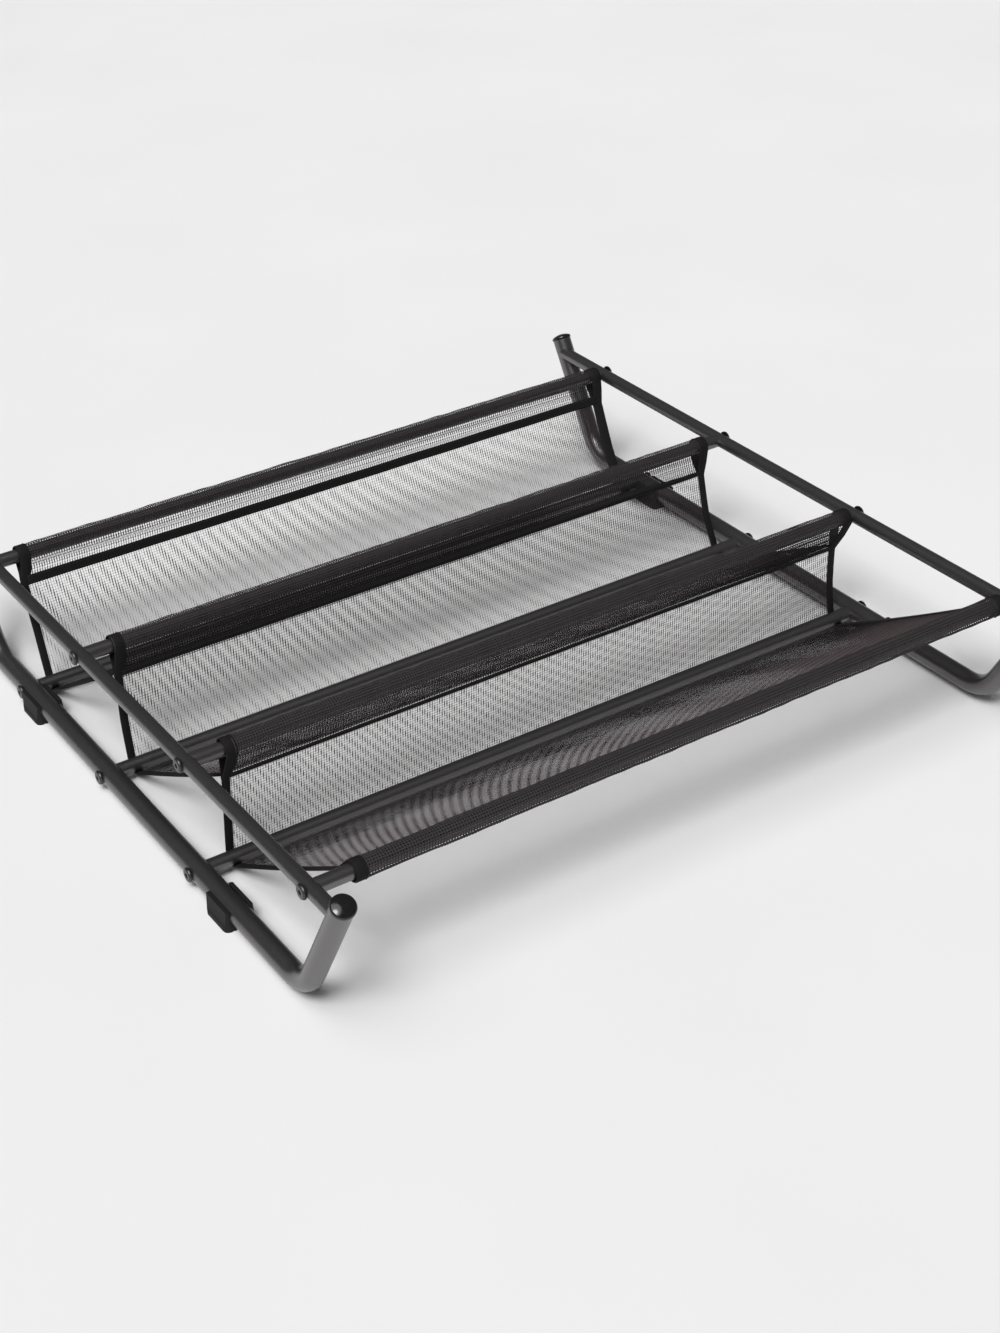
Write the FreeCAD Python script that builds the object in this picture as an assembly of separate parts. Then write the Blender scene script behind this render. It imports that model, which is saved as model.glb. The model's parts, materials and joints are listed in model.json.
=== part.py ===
import FreeCAD, Part
import math
import os

V = FreeCAD.Vector

# Low shoe rack for the space under a bed: two bent side frames, seven cross tubes, and a mesh sling
# that hangs in three troughs. Millimetres. X runs along the cross tubes, -Y is the front, Z is up,
# and the floor is at zero.

# Side frames
side_span = 700.0      # between the axes of the two floor runs
side_od = 19.0         # floor run and uprights
side_wall = 1.2
corner_y = 299.0       # where the axes of a floor run and an upright would cross
lean_deg = 30.0        # upright away from the vertical
bend_r = 42.0          # on the axis
bar_od = 13.0          # upper bars and cross tubes
bar_wall = 1.0
upper_rise = 102.0     # upper bar above the floor run, axis to axis
front_tip_over = 18.5  # cut end of a front upright above the upper bar, on the axes
rear_tip_over = 12.0   # and of a rear one
weld_gap = 0.05

# Rows of cross tubes, first one at the back
upper_rows = 4
rear_setback = 72.0    # first upper tube in front of the rear uprights
front_setback = 44.0   # last upper tube behind the front uprights
lower_lead = 64.0      # first lower tube in front of its upper tube
lower_lead_step = 29.0 # how much less each next one leads
cope_gap = 0.1         # coped tube end to the tube that it sits against
cope_blunt = 2.6       # coped points end this far from the axis of the tube that they sit against

# Screwed joints
screw_d = 5.0
screw_hole_gap = 0.2   # all round
screw_head_d = 13.0
screw_head_h = 2.6
screw_key = 4.0        # across the flats of the hexagon socket
screw_key_h = 1.7
screw_tip = 0.8
screw_grip = 17.0      # length of thread inside an insert
insert_len = 24.0
insert_set = 2.0       # insert below the end of its tube
insert_fit = 0.05      # all round, in the tube and on the screw
insert_groove = 0.6
insert_band = 4.8      # plain length at each end and in the middle

# Plugs in the tips of the uprights
cap_over = 0.75        # head beyond the tube, all round
cap_edge = 3.2
cap_round = 1.1        # of the head's edge, across
cap_crown = 2.2
cap_stem = 15.0
cap_stem_wall = 2.2
cap_lead = 1.5         # chamfer at the stem's end
cap_ribs = 3
cap_floor = 0.5        # head below the tube's end, inside the hollow stem
cap_rib = 0.55         # ribs beyond the stem
cap_fit = 0.1          # ribs inside the tube

# Saddle feet
foot_len = 36.0
foot_width = 29.0
foot_base = 4.0        # under the tube
foot_flange = 6.5      # height of the flange beside the saddle
foot_wall = 3.6        # beside the tube, at mid height
foot_hug = 5.5         # saddle above the tube's axis
foot_gap = 0.15
foot_corner = 6.0
foot_chamfer = 1.0
foot_draft = 1.2       # the saddle walls lean in by this much
foot_lip = 0.6         # lead-in at the saddle's mouth
foot_front_clear = 28.5  # front foot in front of the last lower tube
foot_rear_clear = 1.0    # rear foot in front of the first lower tube
foot_peg_d = 5.0
foot_peg_len = 5.0
foot_grooves = 3
foot_groove = 2.2
foot_groove_h = 0.7

# Mesh sling
mesh_t = 0.8
mesh_stub = 13.5       # bare tube between the mesh and a side frame
mesh_gap = 0.3         # to the tubes
seam_drop = 26.0       # seam of a sleeve below its tube's axis
seam_run = 3.0         # the sleeve's layers run together over this length below the seam
panel_sag = 1.0
slope_sag = 1.5
sew_gap = 0.1          # between sewn layers
tape_w = 8.5
tape_t = 0.6
bind_w = 9.0
bind_t = 0.6
bind_lap = 1.0         # binding beyond the mesh
open_columns = 12      # openings across, a coarse grid for the fine net
open_pitch = 15.0      # of the rows, about
open_bar = 3.0         # cloth left between two openings
open_keep = 8.0        # cloth left beside a seam or a turn
open_hem_keep = 2.5    # cloth left beside the tube and the seam tape of a sleeve

# Derived places
side_r = side_od / 2
bar_r = bar_od / 2
floor_z = foot_base + side_r
upper_z = floor_z + upper_rise
side_x = side_span / 2
bar_x = side_x - side_r + bar_r
inner_x = side_x - side_r
lean = math.radians(lean_deg)
tip_rise = {-1: upper_rise + front_tip_over, 1: upper_rise + rear_tip_over}
middle_y = (front_tip_over - rear_tip_over) * math.tan(lean) / 2  # middle of the floor runs
bar_reach = corner_y + upper_rise * math.tan(lean)
upper_pitch = (2 * bar_reach - rear_setback - front_setback) / (upper_rows - 1)
upper_y = [middle_y + bar_reach - rear_setback - i * upper_pitch for i in range(upper_rows)]
lower_y = [upper_y[i] - lower_lead + i * lower_lead_step for i in range(upper_rows - 1)]
foot_front_y = lower_y[-1] - bar_r - foot_front_clear - foot_len / 2
foot_rear_y = lower_y[0] - bar_r - foot_rear_clear - foot_len / 2
mesh_span = 2 * (inner_x - mesh_stub)
screw_hole_d = screw_d + 2 * screw_hole_gap


def at(y, z, x=0.0):
    return V(x, y, z)


def upright(end):
    """Foot and direction of an upright's axis in its side plane; end is -1 front, 1 rear."""
    return at(middle_y + end * corner_y, floor_z), at(end * math.sin(lean), math.cos(lean))


def rod(start, direction, radius, length):
    return Part.makeCylinder(radius, length, start, direction)


def rod_x(y, z, radius, x0, x1):
    return rod(V(x0, y, z), V(1, 0, 0), radius, x1 - x0)


def rod_y(x, z, radius, y0, y1):
    return rod(V(x, y0, z), V(0, 1, 0), radius, y1 - y0)


def side_axis():
    """Axis of a side tube in the plane x = 0, from the rear tip to the front tip."""
    along = bend_r * math.tan((math.pi / 2 - lean) / 2)
    points = {}
    for end in (1, -1):
        corner, up = upright(end)
        run = corner + at(-end * along, 0)
        rise = corner + up * along
        centre = run + at(0, bend_r)
        middle = centre + (corner - centre).normalize() * bend_r
        tip = corner + up * (tip_rise[end] / math.cos(lean))
        points[end] = (tip, rise, middle, run)
    rear_tip, rear_rise, rear_mid, rear_run = points[1]
    front_tip, front_rise, front_mid, front_run = points[-1]
    edges = [
        Part.makeLine(rear_tip, rear_rise),
        Part.Arc(rear_rise, rear_mid, rear_run).toShape(),
        Part.makeLine(rear_run, front_run),
        Part.Arc(front_run, front_mid, front_rise).toShape(),
        Part.makeLine(front_rise, front_tip),
    ]
    return Part.Wire(edges), rear_tip, upright(1)[1]


def side_tube(x):
    axis, tip, up = side_axis()
    walls = []
    for radius in (side_r, side_r - side_wall):
        ring = Part.Wire([Part.makeCircle(radius, tip, up)])
        walls.append(axis.makePipeShell([ring], True, True))
    tube = walls[0].cut(walls[1])
    holes = [rod_x(y, floor_z, screw_hole_d / 2, -side_od, side_od) for y in lower_y]
    for y in (foot_front_y, foot_rear_y):
        peg_hole = foot_peg_d / 2 + foot_gap
        holes.append(rod(at(y, floor_z - side_od), V(0, 0, 1), peg_hole, side_od))
    tube = tube.cut(holes)
    tube.translate(V(x, 0, 0))
    return tube


def upper_bar(x, axis_x):
    bar = rod_y(x, upper_z, bar_r, middle_y - bar_reach, middle_y + bar_reach)
    cutters = [rod_y(x, upper_z, bar_r - bar_wall, -2 * bar_reach, 2 * bar_reach)]
    for end in (-1, 1):
        corner, up = upright(end)
        corner.x = axis_x
        cutters.append(rod(corner, up, side_r + weld_gap, 2 * upper_rise))
    for y in upper_y:
        cutters.append(rod_x(y, upper_z, screw_hole_d / 2, x - bar_od, x + bar_od))
    return bar.cut(cutters)


def cross_tube(y, z, seat_x, seat_r):
    """Tube with both ends coped to the round of the tube at seat_x."""
    reach = seat_x - cope_blunt
    tube = rod_x(y, z, bar_r, -reach, reach)
    cutters = [rod_x(y, z, bar_r - bar_wall, -side_span, side_span)]
    for side in (-1, 1):
        seat = rod_y(side * seat_x, z, seat_r + cope_gap, y - bar_od, y + bar_od)
        cutters.append(seat)
    return tube.cut(cutters)


def revolve(profile, start, direction):
    """Solid of revolution from (radius, height) points, set on start along direction."""
    points = [V(r, 0, h) for r, h in profile]
    face = Part.Face(Part.makePolygon(points + points[:1]))
    solid = face.revolve(V(0, 0, 0), V(0, 0, 1), 360)
    solid.Placement = FreeCAD.Placement(start, FreeCAD.Rotation(V(0, 0, 1), direction))
    return solid


def insert(side, y, z):
    outer = bar_r - bar_wall - insert_fit
    inner = screw_d / 2 + insert_fit
    waist = outer - insert_groove
    half = insert_len / 2
    rim = insert_band / 2
    profile = [(inner, 0), (outer, 0), (outer, insert_band), (waist, insert_band + insert_groove),
               (waist, half - rim - insert_groove), (outer, half - rim), (outer, half + rim),
               (waist, half + rim + insert_groove), (waist, 2 * half - insert_band - insert_groove),
               (outer, 2 * half - insert_band), (outer, 2 * half), (inner, 2 * half)]
    return revolve(profile, V(side * (inner_x - insert_set), y, z), V(-side, 0, 0))


def screw(side, y, z, seat):
    """Furniture bolt with a low head and a hexagon socket; seat is the head's seat from x = 0."""
    length = seat - inner_x + insert_set + screw_grip
    rim = screw_head_d / 2
    top = 0.78 * rim
    r = screw_d / 2
    root = screw_head_h - screw_key_h
    head = [V(0, 0, 0), V(rim, 0, 0), V(rim, 0, -0.25 * screw_head_h), V(top, 0, -screw_head_h),
            V(0, 0, -screw_head_h)]
    bulge = V(0.5 * (rim + top) + 0.05 * rim, 0, -0.74 * screw_head_h)
    edges = [Part.makeLine(head[0], head[1]), Part.makeLine(head[1], head[2]),
             Part.Arc(head[2], bulge, head[3]).toShape(), Part.makeLine(head[3], head[4]),
             Part.makeLine(head[4], head[0])]
    button = Part.Face(Part.Wire(edges)).revolve(V(0, 0, 0), V(0, 0, 1), 360)
    straight = length - screw_tip
    shank = Part.makeCylinder(r, straight + root, V(0, 0, -root), V(0, 0, 1))
    point = Part.makeCone(r, r - screw_tip, screw_tip, V(0, 0, straight), V(0, 0, 1))
    corner = screw_key / math.sqrt(3)
    hexagon = [V(corner * math.cos(math.radians(60 * i)), corner * math.sin(math.radians(60 * i)),
                 -2 * screw_head_h) for i in range(7)]
    socket = Part.Face(Part.makePolygon(hexagon)).extrude(V(0, 0, screw_head_h + screw_key_h))
    solid = button.fuse([shank, point]).removeSplitter().cut(socket)
    solid.Placement = FreeCAD.Placement(V(side * seat, y, z),
                                        FreeCAD.Rotation(V(0, 0, 1), V(-side, 0, 0)))
    return solid


def end_cap(x, end):
    """Plug with a low crown: a head over the cut tube end and a hollow stem with grip ribs."""
    corner, up = upright(end)
    corner.x = x
    start = corner + up * (tip_rise[end] / math.cos(lean))
    head_r = side_r + cap_over
    rib = side_r - side_wall - cap_fit
    stem = rib - cap_rib
    hollow = stem - cap_stem_wall
    rim = V(head_r, 0, cap_edge - 1.5 * cap_round)
    shoulder_r = head_r - cap_round
    shoulder = V(shoulder_r, 0, cap_edge)
    crown = V(0, 0, cap_edge + cap_crown)
    dome_r = (shoulder_r ** 2 + cap_crown ** 2) / (2 * cap_crown)
    turn = math.asin(shoulder_r / dome_r) / 2
    half = crown + V(dome_r * math.sin(turn), 0, dome_r * math.cos(turn) - dome_r)
    wire = [V(hollow, 0, -cap_stem), V(stem - cap_lead / 2, 0, -cap_stem)]
    step = (cap_stem - 2 * cap_lead) / cap_ribs
    for i in range(cap_ribs):
        low = -cap_stem + cap_lead + i * step
        wire += [V(stem, 0, low), V(rib, 0, low + 0.7 * step), V(stem, 0, low + 0.8 * step)]
    wire += [V(stem, 0, 0), V(head_r, 0, 0), rim]
    edges = [Part.makeLine(a, b) for a, b in zip(wire, wire[1:])]
    bulge = (rim + shoulder) * 0.5 + V(0.17, 0, 0.11) * cap_round
    edges.append(Part.Arc(rim, bulge, shoulder).toShape())
    edges.append(Part.Arc(shoulder, half, crown).toShape())
    inside = V(0, 0, -cap_floor)
    edge = V(hollow, 0, -cap_floor)
    edges.append(Part.makeLine(crown, inside))
    edges.append(Part.makeLine(inside, edge))
    edges.append(Part.makeLine(edge, wire[0]))
    solid = Part.Face(Part.Wire(edges)).revolve(V(0, 0, 0), V(0, 0, 1), 360)
    solid.Placement = FreeCAD.Placement(start, FreeCAD.Rotation(V(0, 0, 1), up))
    return solid


def foot(x, y):
    """Saddle foot: flanged base, walls that hug the tube past its middle, a peg into the tube."""
    wall_x = side_r + foot_gap + foot_wall
    half = foot_width / 2
    bore = side_r + foot_gap
    top = floor_z + foot_hug
    bevel = foot_chamfer
    right = [V(half - bevel, 0, 0), V(half, 0, bevel), V(half, 0, foot_flange - 2 * bevel),
             V(half - bevel, 0, foot_flange), V(wall_x, 0, foot_flange + bevel),
             V(wall_x - foot_draft, 0, top)]
    outline = right + [V(-p.x, 0, p.z) for p in reversed(right)]
    body = Part.Face(Part.makePolygon(outline + outline[:1])).extrude(V(0, foot_len, 0))
    body.translate(V(0, -foot_len / 2, 0))
    r = foot_corner
    far_y = foot_len / 2
    ends = []
    for sx, sy in ((1, 1), (-1, 1), (-1, -1), (1, -1)):
        ends.append(Part.makeCylinder(r, 3 * top, V(sx * (half - r), sy * (far_y - r), -top)))
    long_way = Part.makeBox(foot_width - 2 * r, foot_len, 3 * top, V(-half + r, -far_y, -top))
    plan = Part.makeBox(foot_width, foot_len - 2 * r, 3 * top, V(-half, -far_y + r, -top))
    plan = plan.fuse(ends + [long_way]).removeSplitter()
    body = body.common(plan)
    cutters = [rod_y(0, floor_z, bore, -foot_len, foot_len)]
    mouth = bore * math.cos(math.asin(foot_hug / bore)) + foot_lip / 2
    cutters.append(Part.makeBox(2 * mouth, 2 * foot_len, top, V(-mouth, -foot_len, top - foot_lip)))
    for i in range(foot_grooves):
        centre = (i - (foot_grooves - 1) / 2) * foot_width / (foot_grooves + 1)
        cutters.append(Part.makeBox(foot_groove, 2 * foot_len, 2 * foot_groove_h,
                                    V(centre - foot_groove / 2, -foot_len, -foot_groove_h)))
    body = body.cut(cutters)
    peg = Part.makeCylinder(foot_peg_d / 2, foot_base / 2 + foot_peg_len, V(0, 0, foot_base / 2))
    body = body.fuse(peg).removeSplitter()
    body.translate(V(x, y, 0))
    return body


# The sling is drawn as a side profile in the plane x = 0 and pulled along X.
sleeve_r = bar_r + mesh_gap
turn_r = bar_r + mesh_gap + mesh_t / 2


def tangent(point, centre, radius, side):
    """Unit direction from centre to where a line from point touches the circle.

    Side 1 takes the touching point to the left of the line from point to centre, seen along -X.
    """
    out = point - centre
    turn = math.acos(radius / out.Length)
    angle = math.atan2(out.z, out.y) + side * turn
    return at(math.cos(angle), math.sin(angle))


class Sleeve:
    """Teardrop loop of mesh round an upper tube, its two layers meeting in a seam."""

    def __init__(self, centre, down, front):
        self.centre = centre
        self.down = down
        self.front = front

    def angle(self, grow):
        """Angle between the sleeve's outer faces and its middle line."""
        half = mesh_t / 2 + grow
        far = seam_drop + seam_run
        outer = sleeve_r + mesh_t + grow
        return math.asin(outer / math.hypot(far, half)) - math.atan2(half, far)

    def face_point(self, side, along, grow, lift=0.0):
        """Point on an outer face, along the middle line; side 1 is the front face."""
        slant = self.angle(grow)
        half = mesh_t / 2 + grow + (seam_drop + seam_run - along) * math.tan(slant)
        flat = self.down * math.sin(slant) + self.front * (side * math.cos(slant))
        return self.centre + self.down * along + self.front * (side * half) + flat * lift

    def touch(self, side, radius, grow):
        slant = self.angle(grow)
        flat = self.down * math.sin(slant) + self.front * (side * math.cos(slant))
        return self.centre + flat * radius

    def start(self, side, grow):
        return self.centre + self.down * (seam_drop + seam_run) + self.front * (side * (mesh_t / 2 + grow))

    def loop(self, grow, first):
        """Edges from the start of one side of the panel, round the tube, to the other."""
        outer = sleeve_r + mesh_t + grow
        a = self.touch(first, outer, grow)
        b = self.touch(-first, outer, grow)
        return [Part.makeLine(self.start(first, grow), a),
                Part.Arc(a, self.centre - self.down * outer, b).toShape(),
                Part.makeLine(b, self.start(-first, grow))]

    def hole(self):
        """The room inside the sleeve."""
        slant = self.angle(0.0)
        apex = self.centre + self.down * (sleeve_r / math.sin(slant))
        a = self.touch(1, sleeve_r, 0.0)
        b = self.touch(-1, sleeve_r, 0.0)
        return Part.Wire([Part.makeLine(apex, a),
                          Part.Arc(a, self.centre - self.down * sleeve_r, b).toShape(),
                          Part.makeLine(b, apex)])


def sagging(a, b, sag):
    """Arc from a to b whose middle hangs by the vector sag."""
    return Part.Arc(a, (a + b) * 0.5 + sag, b).toShape()


def steep_sleeve(row):
    """Sleeve on an upper tube from which a steep panel falls behind its lower tube."""
    centre = at(upper_y[row], upper_z)
    turn = at(lower_y[row], floor_z)
    behind = tangent(centre, turn, turn_r, -1)
    touch = turn + behind * turn_r
    return Sleeve(centre, (touch - centre).normalize(), behind * -1), behind


def trough_parts(row):
    """Sleeve, turn and end of the trough that starts at an upper row."""
    sleeve, behind = steep_sleeve(row)
    turn = at(lower_y[row], floor_z)
    if row + 2 < upper_rows:
        following = steep_sleeve(row + 1)[0]
        rim = following.face_point(-1, seam_drop, 0.0)
        end = rim + following.front * -(sew_gap + bind_t + 0.5 * mesh_t)
        below = tangent(end, turn, turn_r, 1)
        return sleeve, behind, turn, below, end, None
    centre = at(upper_y[row + 1], upper_z)
    below = tangent(centre, turn, turn_r, 1)
    back = (turn + below * turn_r - centre).normalize()
    return sleeve, behind, turn, below, None, Sleeve(centre, back, below * -1)


def trough_face(row, grow):
    """Side profile of one trough, its mesh thickened by grow on each face outside the sleeves."""
    sleeve, behind, turn, below, end, last = trough_parts(row)
    half = mesh_t / 2 + grow
    near = turn_r - half
    far = turn_r + half
    under = (behind + below).normalize()
    hang = behind * panel_sag
    drop = below * slope_sag
    if last is None:
        tail = [Part.makeLine(end - below * half, end + below * half)]
        top, bottom = end - below * half, end + below * half
    else:
        tail = last.loop(grow, 1)
        top, bottom = last.start(1, grow), last.start(-1, grow)
    edges = [sagging(sleeve.start(1, grow), turn + behind * near, hang),
             Part.Arc(turn + behind * near, turn + under * near, turn + below * near).toShape(),
             sagging(turn + below * near, top, drop)]
    edges += tail
    edges += [sagging(bottom, turn + below * far, drop),
              Part.Arc(turn + below * far, turn + under * far, turn + behind * far).toShape(),
              sagging(turn + behind * far, sleeve.start(-1, grow), hang)]
    edges += sleeve.loop(grow, -1)
    outline = Part.Wire(Part.__sortEdges__(edges))
    holes = [sleeve.hole()]
    if last is not None:
        holes.append(last.hole())
    face = Part.Face(outline)
    return face.cut([Part.Face(hole) for hole in holes]).Faces[0]


def pulled(face, x0, x1):
    solid = face.extrude(V(x1 - x0, 0, 0))
    solid.translate(V(x0, 0, 0))
    return solid


def grid(start, end, depth):
    """Boxes that open a stretch of cloth between two profile points, in columns across and rows along."""
    along = (end - start).normalize()
    through = at(-along.z, along.y) * depth
    reach = (end - start).Length + open_bar
    rows = max(1, round(reach / open_pitch))
    pitch = reach / rows
    width = (mesh_span - 2 * bind_w - open_bar) / open_columns
    boxes = []
    for row in range(rows):
        a = start + along * (row * pitch)
        b = a + along * (pitch - open_bar)
        corners = [a - through, b - through, b + through, a + through]
        face = Part.Face(Part.makePolygon(corners + corners[:1]))
        for column in range(open_columns):
            x = (column - open_columns / 2) * width + open_bar / 2
            boxes.append(pulled(face, x, x + width - open_bar))
    return boxes


def hem_grid(sleeve):
    """Openings through both layers of a sleeve, between its tube and its seam tape."""
    top = sleeve_r + mesh_t + open_hem_keep
    bottom = seam_drop - tape_w / 2 - open_hem_keep
    return grid(sleeve.centre + sleeve.down * top, sleeve.centre + sleeve.down * bottom, bar_od)


def stretch_grid(start, end):
    """Openings in a single layer of cloth, clear of what holds it at both ends."""
    keep = (end - start).normalize() * open_keep
    return grid(start + keep, end - keep, sleeve_r)


def trough(row):
    sleeve, behind, turn, below, end, last = trough_parts(row)
    cloth = pulled(trough_face(row, 0.0), -mesh_span / 2, mesh_span / 2)
    cutters = hem_grid(sleeve)
    if last is not None:
        cutters += hem_grid(last)
        end = last.centre + last.down * (seam_drop + seam_run)
    seam_end = sleeve.centre + sleeve.down * (seam_drop + seam_run)
    cutters += stretch_grid(seam_end, turn + behind * turn_r)
    cutters += stretch_grid(turn + below * turn_r, end)
    return cloth.cut(cutters)


def binding(row, side):
    """Tape folded over the end of a trough's mesh, along its whole side profile."""
    inner = mesh_span / 2 - bind_w
    outer = mesh_span / 2 + bind_lap
    tape = pulled(trough_face(row, sew_gap + bind_t), inner, outer)
    slot = pulled(trough_face(row, sew_gap), inner - bind_w, mesh_span / 2 + sew_gap)
    tube = rod_x(lower_y[row], floor_z, bar_r + mesh_gap, inner - bind_w, outer + bind_w)
    solid = tape.cut([slot, tube])
    if side < 0:
        solid = solid.mirror(V(0, 0, 0), V(1, 0, 0))
    return solid


def seam_tape(row):
    """Flat tape sewn over a sleeve's seam, between the two bindings."""
    if row + 1 < upper_rows:
        sleeve = steep_sleeve(row)[0]
    else:
        sleeve = trough_parts(row - 1)[5]
    points = [sleeve.face_point(1, seam_drop - tape_w / 2, 0.0, sew_gap),
              sleeve.face_point(1, seam_drop + seam_run, 0.0, sew_gap),
              sleeve.face_point(1, seam_drop + seam_run, 0.0, sew_gap + tape_t),
              sleeve.face_point(1, seam_drop - tape_w / 2, 0.0, sew_gap + tape_t)]
    half = mesh_span / 2 - bind_w - 2 * sew_gap
    return pulled(Part.Face(Part.makePolygon(points + points[:1])), -half, half)


nodes = {}
sides = (("left", -1), ("right", 1))
for name, side in sides:
    nodes[name + "_side_tube"] = side_tube(side * side_x)
    nodes[name + "_upper_bar"] = upper_bar(side * bar_x, side * side_x)
    for end_name, end, foot_y in (("front", -1, foot_front_y), ("rear", 1, foot_rear_y)):
        nodes[name + "_" + end_name + "_cap"] = end_cap(side * side_x, end)
        nodes[name + "_" + end_name + "_foot"] = foot(side * side_x, foot_y)
    upper_seat = bar_x + bar_r
    lower_seat = side_x + side_r
    nodes[name + "_upper_screws"] = [screw(side, y, upper_z, upper_seat) for y in upper_y]
    nodes[name + "_lower_screws"] = [screw(side, y, floor_z, lower_seat) for y in lower_y]
    nodes[name + "_upper_inserts"] = [insert(side, y, upper_z) for y in upper_y]
    nodes[name + "_lower_inserts"] = [insert(side, y, floor_z) for y in lower_y]
for i, y in enumerate(upper_y):
    nodes["upper_cross_tube_%d" % (i + 1)] = cross_tube(y, upper_z, bar_x, bar_r)
    nodes["seam_tape_%d" % (i + 1)] = seam_tape(i)
for i, y in enumerate(lower_y):
    nodes["lower_cross_tube_%d" % (i + 1)] = cross_tube(y, floor_z, side_x, side_r)
    nodes["mesh_trough_%d" % (i + 1)] = trough(i)
    for name, side in sides:
        nodes["%s_binding_%d" % (name, i + 1)] = binding(i, side)

os.makedirs("parts", exist_ok=True)
for name, made in nodes.items():
    solids = []
    for shape in made if isinstance(made, list) else [made]:
        solids += shape.Solids
    shape = solids[0] if len(solids) == 1 else Part.makeCompound(solids)
    shape.exportStep("parts/%s.step" % name)
    box = shape.BoundBox
    print("%-24s solids %d valid %s  volume %9.1f  x %.1f %.1f  y %.1f %.1f  z %.1f %.1f" % (
        name, len(solids), shape.isValid(), shape.Volume, box.XMin, box.XMax, box.YMin, box.YMax,
        box.ZMin, box.ZMax))
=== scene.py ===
"""Looks of the underbed shoe rack: mesh sling, bindings, finishes, studio and camera. Metres."""
import json
import math

import bpy
import numpy as np
from mathutils import Matrix, Vector


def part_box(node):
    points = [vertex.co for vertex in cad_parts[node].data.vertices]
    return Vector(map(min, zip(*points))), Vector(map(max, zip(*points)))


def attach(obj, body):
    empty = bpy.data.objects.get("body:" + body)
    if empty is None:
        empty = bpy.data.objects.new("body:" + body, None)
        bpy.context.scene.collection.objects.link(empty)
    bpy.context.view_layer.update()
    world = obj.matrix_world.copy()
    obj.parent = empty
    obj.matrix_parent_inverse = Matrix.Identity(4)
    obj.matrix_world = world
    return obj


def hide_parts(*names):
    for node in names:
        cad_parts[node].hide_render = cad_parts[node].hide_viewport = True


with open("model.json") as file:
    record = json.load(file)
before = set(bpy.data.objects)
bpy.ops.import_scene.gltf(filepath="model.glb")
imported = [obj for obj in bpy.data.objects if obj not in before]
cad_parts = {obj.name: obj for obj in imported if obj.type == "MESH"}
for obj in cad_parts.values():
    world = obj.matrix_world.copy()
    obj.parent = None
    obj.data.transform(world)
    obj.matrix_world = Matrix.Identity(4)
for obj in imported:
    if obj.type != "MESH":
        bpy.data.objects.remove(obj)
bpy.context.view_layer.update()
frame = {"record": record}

MM = 0.001
ROWS = 3                     # troughs; there is one upper tube more
BODY = "root"
SEED = 7

# Profile of the sling
CLOTH_GAP = 0.7 * MM         # from a lower tube to the middle of the cloth
SLEEVE_GAP = 2.3 * MM        # from an upper tube to the middle of its sleeve
LAYER = 0.35 * MM            # half the distance between two layers sewn together
SEAM_DROP = 26 * MM          # seam of a sleeve below its tube's axis
SEAM_END = 29 * MM           # where the two layers have become one
SLOPE_BEHIND = 1.2 * MM      # from the next sleeve's back layer to the end of a slope
PANEL_SAG = 1.0 * MM
SLOPE_SAG = 1.5 * MM
# Points along a sleeve's face, round its tube, down each panel, round a turn and up a slope
FACE_STEPS, LOOP_STEPS, PANEL_STEPS, TURN_STEPS, SLOPE_STEPS = 3, 9, (20, 24, 30), 7, 13
# Parts of a profile, and those that go round an upper tube
ON_SLEEVE, ON_PANEL, ON_TURN, ON_SLOPE, ON_LAST = range(5)
LOOPS = (ON_SLEEVE, ON_LAST)

# Edges of the sling
HALF_SPAN = 327 * MM         # of the flat cloth
# Outer edge of the bindings in mm from the middle of the rack, for each trough: at the upper tube, at the
# seam below it, half way down the panel and at the lower tube; then for the last sleeve: at its tube and at
# its seam. The sling was not sewn quite evenly.
RIGHT_EDGE = ((339, 336, 334, 333.5), (326, 322, 322, 326), (338.5, 327, 328, 331), (338.5, 338.5))
LEFT_EDGE = ((322, 327, 329, 332), (320, 323, 327, 329), (316, 319, 320, 322), (313, 313))
EDGE_FALL = 16 * MM          # above a seam, where the edge begins to move to its place at the seam

# Small waves, in numbers of waves over the whole width and over the whole profile
ACROSS_WAVES, ALONG_WAVES = (2, 11), (0.3, 1.6)
WAVE_COLUMNS = 160           # of the grid that carries them
PUCKER, PUCKER_WAVES, PUCKER_SEED = 0.5 * MM, 6, 20      # of the panels and slopes
RIPPLE, RIPPLE_WAVES, RIPPLE_SEED = 0.5 * MM, 9, 40      # of the sleeves on their tubes
RIPPLE_ACROSS = (2, 36)

# Yarn of the net
THREAD_PITCH = 2.5 * MM      # of the ribs down the cloth and of the threads across it
THREAD_JITTER = 0.03         # of the pitch
THREAD_STEPS = 28            # along a cross thread
THREAD_CORNERS = 4
RIB_W, CROSS_W, THREAD_T = 0.40 * MM, 0.165 * MM, 0.20 * MM
LEAST_W = 0.06 * MM          # of a rib
# On the slopes the yarn is narrower, and the threads across are taller: their height for each trough
SLOPE_RIB_W, SLOPE_CROSS_W, SLOPE_T = 0.26 * MM, 0.10 * MM, (0.32 * MM, 0.27 * MM, 0.34 * MM)
SLEEVE_W = 0.9 * MM          # of the threads stretched over an upper tube
# Drop below a tube's axis over which those threads end, at the front of a trough's first sleeve and elsewhere
FRONT_FADE, BACK_FADE = (1 * MM, 5 * MM), (5 * MM, 13 * MM)
# Sleeves that are dense down to their seam: places across, and how dense from the first to the second
DENSE_HEMS = {1: ((110 * MM, 190 * MM), (1, 0)), 2: ((190 * MM, 250 * MM), (0, 0.75))}
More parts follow.
